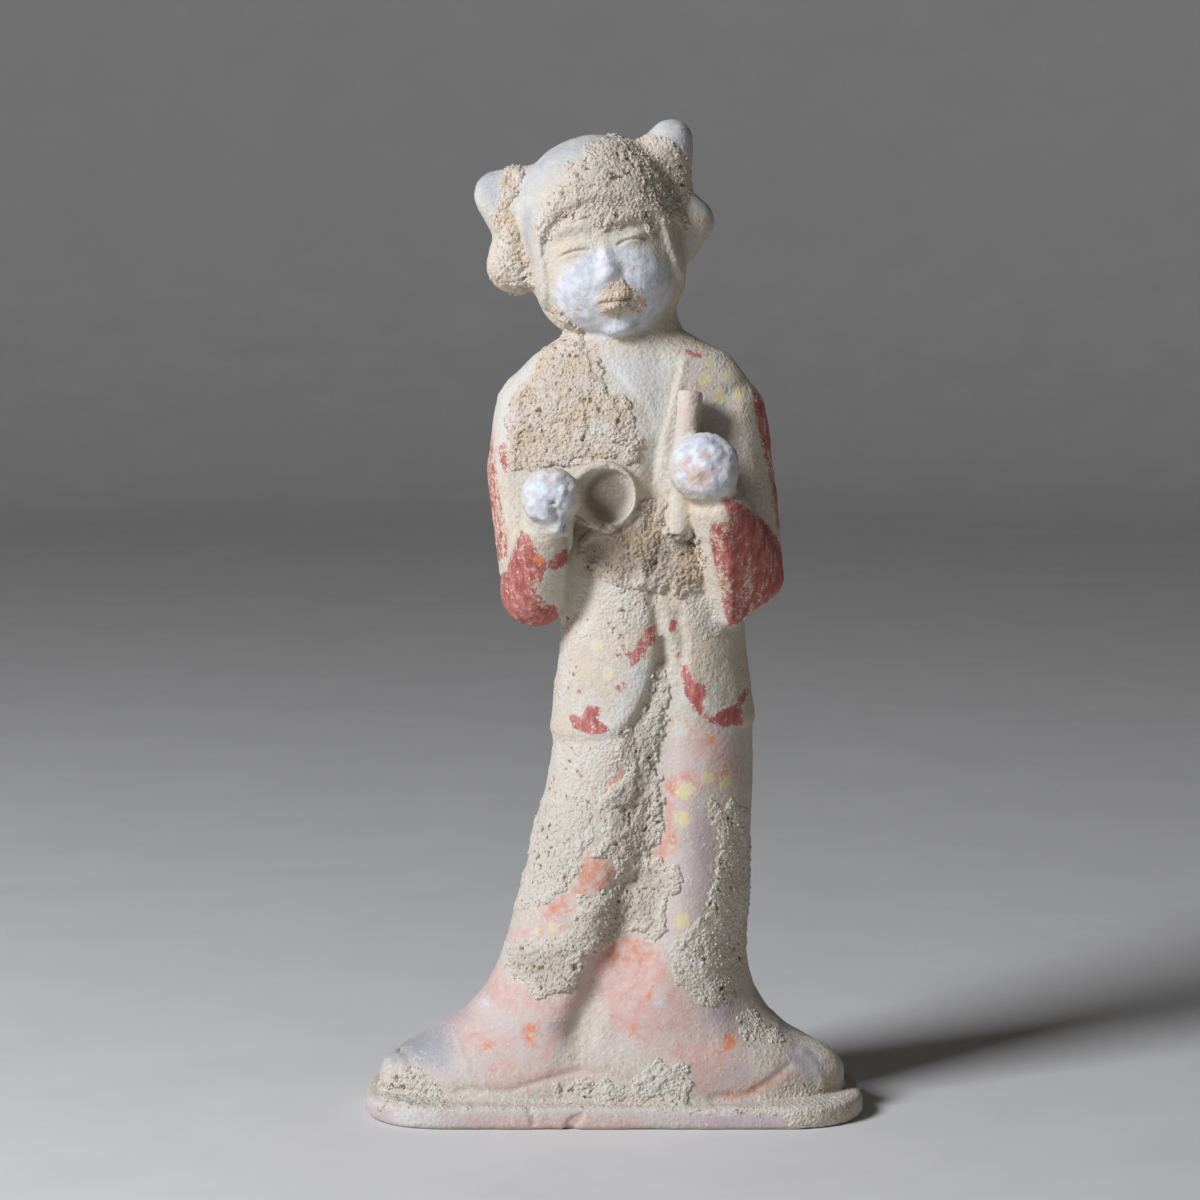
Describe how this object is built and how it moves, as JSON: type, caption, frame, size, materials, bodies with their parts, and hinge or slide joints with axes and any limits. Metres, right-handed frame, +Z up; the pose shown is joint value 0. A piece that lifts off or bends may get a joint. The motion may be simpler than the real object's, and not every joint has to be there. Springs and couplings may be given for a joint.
{
  "type": "tomb attendant figurine",
  "caption": "Small moulded earthenware attendant in jacket and long spreading skirt, with double hair loops, a small dish and a short stick, standing on an integral flat slab.",
  "frame": {"origin": "middle of the integral slab's flat underside, under the middle of its length and depth", "axes": "+Z up from the slab to the hair loops, +X to the viewer's right, along the slab's length, and the figure's front faces -Y"},
  "size_m": [0.1204, 0.0555, 0.24],
  "materials": {
    "painted_earthenware": "matt low-fired clay with worn white slip, red, orange and yellow cold paint under a thin coat of dried soil",
    "burial_soil": "dry crumbly soil crust, very rough and matt"
  },
  "bodies": {
    "root": {"attendant_figure": "painted_earthenware"}
  },
  "joints": []
}
